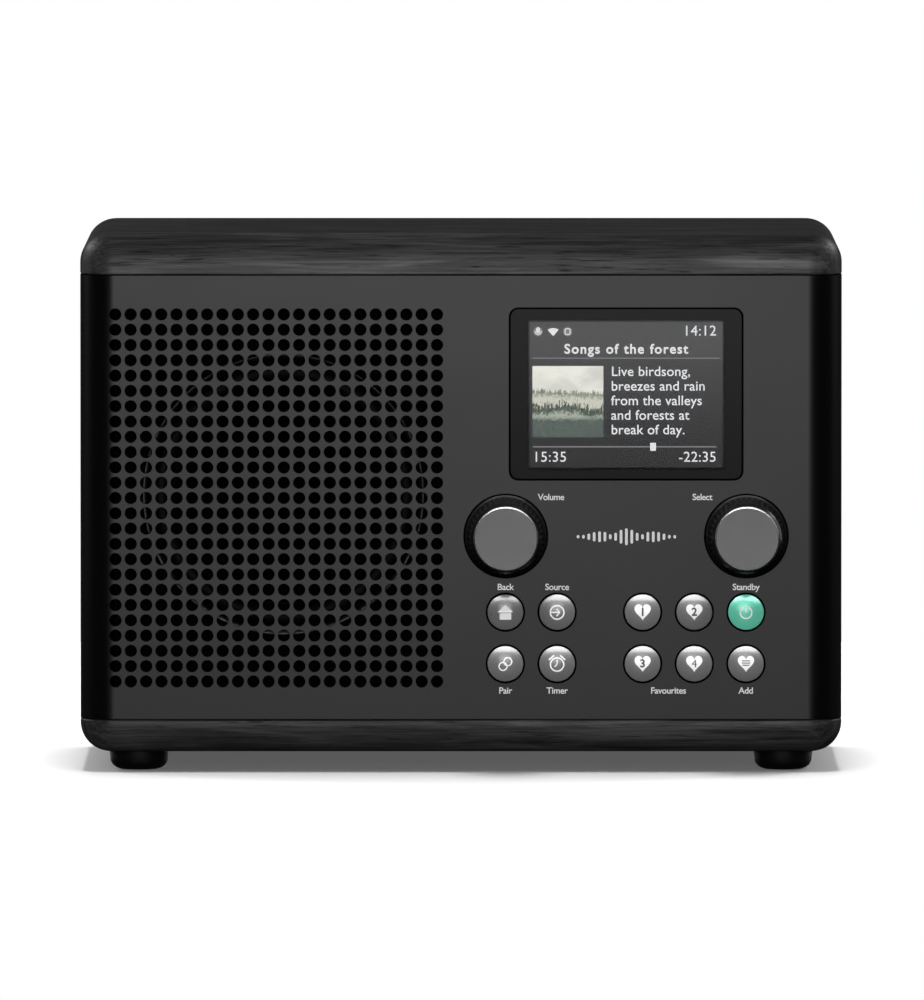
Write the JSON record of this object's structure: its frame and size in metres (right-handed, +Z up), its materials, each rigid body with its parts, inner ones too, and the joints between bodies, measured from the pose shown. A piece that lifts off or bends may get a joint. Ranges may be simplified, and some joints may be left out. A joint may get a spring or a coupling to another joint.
{
  "type": "tabletop radio",
  "caption": "Box-shaped tabletop radio: perforated sleeve between rolled-edge wood panels, colour display, push-and-turn dials, round buttons and a folding aerial behind.",
  "frame": {"origin": "centre of the whole object's footprint, on the surface it stands on", "axes": "+X to the listener's right, the front faces -Y, +Z up"},
  "size_m": [0.23, 0.159, 0.163],
  "materials": {
    "stained_wood": "black-stained oiled wood with fine horizontal grain",
    "sleeve_paint": "fine matt charcoal powder coat",
    "black_plastic": "moulded black plastic",
    "cover_plastic": "spark-eroded black plastic",
    "foot_rubber": "soft black rubber",
    "window": "polished smoked window",
    "lcd": "display glass",
    "button_grey": "smooth dark grey plastic",
    "button_green": "smooth mint green plastic",
    "silicone": "moulded silicone",
    "circuit_board": "green solder mask",
    "switch_metal": "drawn steel",
    "shaft_metal": "turned",
    "plunger_plastic": "natural plastic",
    "dial_plastic": "knurled black plastic",
    "dial_cap": "bead-blasted and anodised grey, bright chamfer",
    "basket": "pressed steel, painted",
    "magnet": "ferrite between zinc-plated steel plates",
    "surround_rubber": "butyl rubber",
    "spider_cloth": "corrugated resin-dipped cloth",
    "cone_paper": "pressed black pulp",
    "coil_copper": "enamelled winding on a former",
    "gasket_foam": "closed-cell foam",
    "screw_steel": "zinc plated",
    "screw_black": "black oxide",
    "wire_sheath": "flexible sheath",
    "ribbon": "flat flexible cable",
    "tin_shield": "tin plated",
    "socket_plastic": "moulded black plastic",
    "aerial_metal": "bright plated brass"
  },
  "bodies": {
    "cabinet": {"top_panel": "stained_wood", "bottom_panel": "stained_wood", "front_shell": "sleeve_paint", "front_chassis": "black_plastic", "rear_cover": "cover_plastic", "foot_front_left": "foot_rubber", "foot_front_right": "foot_rubber", "foot_rear_left": "foot_rubber", "foot_rear_right": "foot_rubber", "display_lens": "window", "lcd_panel": "lcd", "keypad_mat": "silicone", "control_board": "circuit_board", "volume_encoder": "switch_metal", "select_encoder": "switch_metal", "speaker_frame": "basket", "speaker_magnet": "magnet", "speaker_surround": "surround_rubber", "speaker_spider": "spider_cloth", "speaker_gasket": "gasket_foam", "speaker_screws": "screw_steel", "speaker_lead": "wire_sheath", "main_board": "circuit_board", "radio_module": "tin_shield", "dc_jack": "socket_plastic", "headphone_jack": "socket_plastic", "aux_jack": "socket_plastic", "usb_port": "tin_shield", "ribbon_cable": "ribbon", "aerial_lead": "wire_sheath", "aerial_socket": "aerial_metal", "rear_screws": "screw_black", "panel_screws": "screw_steel", "board_screws": "screw_steel"},
    "button_back": {"button_back": "button_grey"},
    "button_source": {"button_source": "button_grey"},
    "button_pair": {"button_pair": "button_grey"},
    "button_timer": {"button_timer": "button_grey"},
    "button_preset_1": {"button_preset_1": "button_grey"},
    "button_preset_2": {"button_preset_2": "button_grey"},
    "button_preset_3": {"button_preset_3": "button_grey"},
    "button_preset_4": {"button_preset_4": "button_grey"},
    "button_standby": {"button_standby": "button_green"},
    "button_add": {"button_add": "button_grey"},
    "volume_press": {"volume_plunger": "plunger_plastic"},
    "volume_dial": {"volume_shaft": "shaft_metal", "volume_knob": "dial_plastic", "volume_knob_cap": "dial_cap"},
    "select_press": {"select_plunger": "plunger_plastic"},
    "select_dial": {"select_shaft": "shaft_metal", "select_knob": "dial_plastic", "select_knob_cap": "dial_cap"},
    "cone": {"speaker_cone": "cone_paper", "speaker_dust_cap": "cone_paper", "speaker_voice_coil": "coil_copper"},
    "aerial_fork": {"aerial_yoke": "aerial_metal"},
    "aerial_mast": {"aerial_tube_1": "aerial_metal"},
    "aerial_section_2": {"aerial_tube_2": "aerial_metal"},
    "aerial_section_3": {"aerial_tube_3": "aerial_metal"},
    "aerial_section_4": {"aerial_tube_4": "aerial_metal"}
  },
  "joints": [
    {"name": "back_button_press", "type": "slide", "parent": "cabinet", "child": "button_back", "axis": [0, 1, 0], "range_m": [0, 0.0009], "stiffness_N_per_m": 1500, "deforming": ["keypad_mat"]},
    {"name": "source_button_press", "type": "slide", "parent": "cabinet", "child": "button_source", "axis": [0, 1, 0], "range_m": [0, 0.0009], "stiffness_N_per_m": 1500, "deforming": ["keypad_mat"]},
    {"name": "pair_button_press", "type": "slide", "parent": "cabinet", "child": "button_pair", "axis": [0, 1, 0], "range_m": [0, 0.0009], "stiffness_N_per_m": 1500, "deforming": ["keypad_mat"]},
    {"name": "timer_button_press", "type": "slide", "parent": "cabinet", "child": "button_timer", "axis": [0, 1, 0], "range_m": [0, 0.0009], "stiffness_N_per_m": 1500, "deforming": ["keypad_mat"]},
    {"name": "preset_1_button_press", "type": "slide", "parent": "cabinet", "child": "button_preset_1", "axis": [0, 1, 0], "range_m": [0, 0.0009], "stiffness_N_per_m": 1500, "deforming": ["keypad_mat"]},
    {"name": "preset_2_button_press", "type": "slide", "parent": "cabinet", "child": "button_preset_2", "axis": [0, 1, 0], "range_m": [0, 0.0009], "stiffness_N_per_m": 1500, "deforming": ["keypad_mat"]},
    {"name": "preset_3_button_press", "type": "slide", "parent": "cabinet", "child": "button_preset_3", "axis": [0, 1, 0], "range_m": [0, 0.0009], "stiffness_N_per_m": 1500, "deforming": ["keypad_mat"]},
    {"name": "preset_4_button_press", "type": "slide", "parent": "cabinet", "child": "button_preset_4", "axis": [0, 1, 0], "range_m": [0, 0.0009], "stiffness_N_per_m": 1500, "deforming": ["keypad_mat"]},
    {"name": "standby_button_press", "type": "slide", "parent": "cabinet", "child": "button_standby", "axis": [0, 1, 0], "range_m": [0, 0.0009], "stiffness_N_per_m": 1500, "deforming": ["keypad_mat"]},
    {"name": "add_button_press", "type": "slide", "parent": "cabinet", "child": "button_add", "axis": [0, 1, 0], "range_m": [0, 0.0009], "stiffness_N_per_m": 1500, "deforming": ["keypad_mat"]},
    {"name": "volume_dial_push", "type": "slide", "parent": "cabinet", "child": "volume_press", "axis": [0, 1, 0], "range_m": [0, 0.0005], "stiffness_N_per_m": 5000},
    {"name": "volume_dial_turn", "type": "hinge", "parent": "volume_press", "child": "volume_dial", "pos_m": [0.0135, -0.061, 0.0716], "axis": [0, 1, 0], "continuous": true},
    {"name": "select_dial_push", "type": "slide", "parent": "cabinet", "child": "select_press", "axis": [0, 1, 0], "range_m": [0, 0.0005], "stiffness_N_per_m": 5000},
    {"name": "select_dial_turn", "type": "hinge", "parent": "select_press", "child": "select_dial", "pos_m": [0.0861, -0.061, 0.0716], "axis": [0, 1, 0], "continuous": true},
    {"name": "cone_stroke", "type": "slide", "parent": "cabinet", "child": "cone", "axis": [0, -1, 0], "range_m": [-0.0015, 0.0015], "stiffness_N_per_m": 1500, "deforming": ["speaker_surround", "speaker_spider"]},
    {"name": "aerial_swivel", "type": "hinge", "parent": "cabinet", "child": "aerial_fork", "pos_m": [0.088, 0.069, 0.132], "axis": [0, 1, 0], "range_deg": [0, 180]},
    {"name": "aerial_tilt", "type": "hinge", "parent": "aerial_fork", "child": "aerial_mast", "pos_m": [0.088, 0.076, 0.132], "axis": [0, 0, -1], "range_deg": [0, 90]},
    {"name": "aerial_slide_2", "type": "slide", "parent": "aerial_mast", "child": "aerial_section_2", "axis": [-1, 0, 0], "range_m": [0, 0.11]},
    {"name": "aerial_slide_3", "type": "slide", "parent": "aerial_section_2", "child": "aerial_section_3", "axis": [-1, 0, 0], "range_m": [0, 0.11]},
    {"name": "aerial_slide_4", "type": "slide", "parent": "aerial_section_3", "child": "aerial_section_4", "axis": [-1, 0, 0], "range_m": [0, 0.11]}
  ]
}
